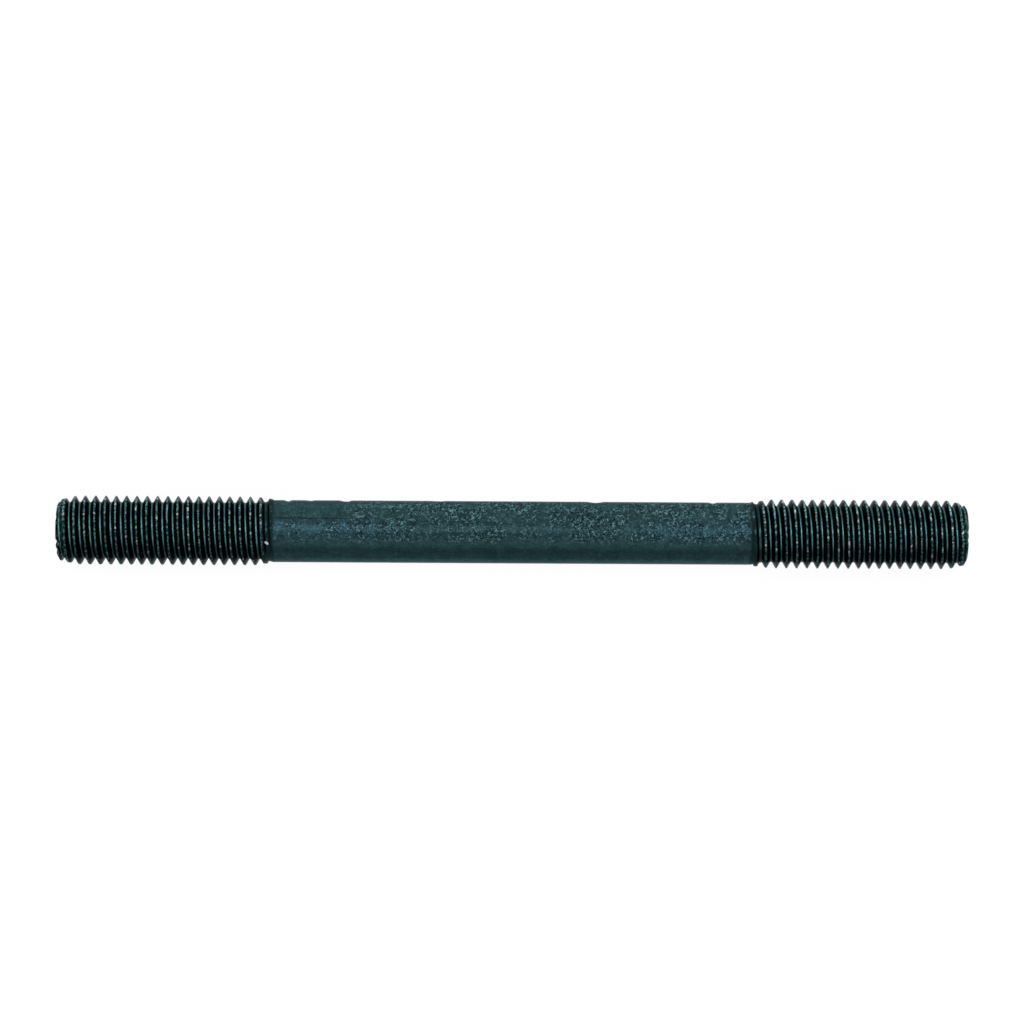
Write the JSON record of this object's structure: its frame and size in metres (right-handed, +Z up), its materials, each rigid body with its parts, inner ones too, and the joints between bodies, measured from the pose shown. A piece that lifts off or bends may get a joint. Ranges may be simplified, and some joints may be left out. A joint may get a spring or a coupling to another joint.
{
  "type": "double ended stud",
  "caption": "Straight steel rod with a right-hand screw thread rolled on each end and a plain shank between, joining two threaded or nutted parts.",
  "frame": {"origin": "on the axis, halfway between the two end faces", "axes": "+X along the axis towards the end with the slightly shorter thread, +Z up as it lies on a bench"},
  "size_m": [0.132, 0.01, 0.01],
  "materials": {
    "black_oxide_steel": "steel with a dark blue-green black oxide, lightly oiled, half matt, with small pits and pale scuffs along the shank and on the crests"
  },
  "bodies": {
    "root": {"double_end_stud": "black_oxide_steel"}
  },
  "joints": []
}
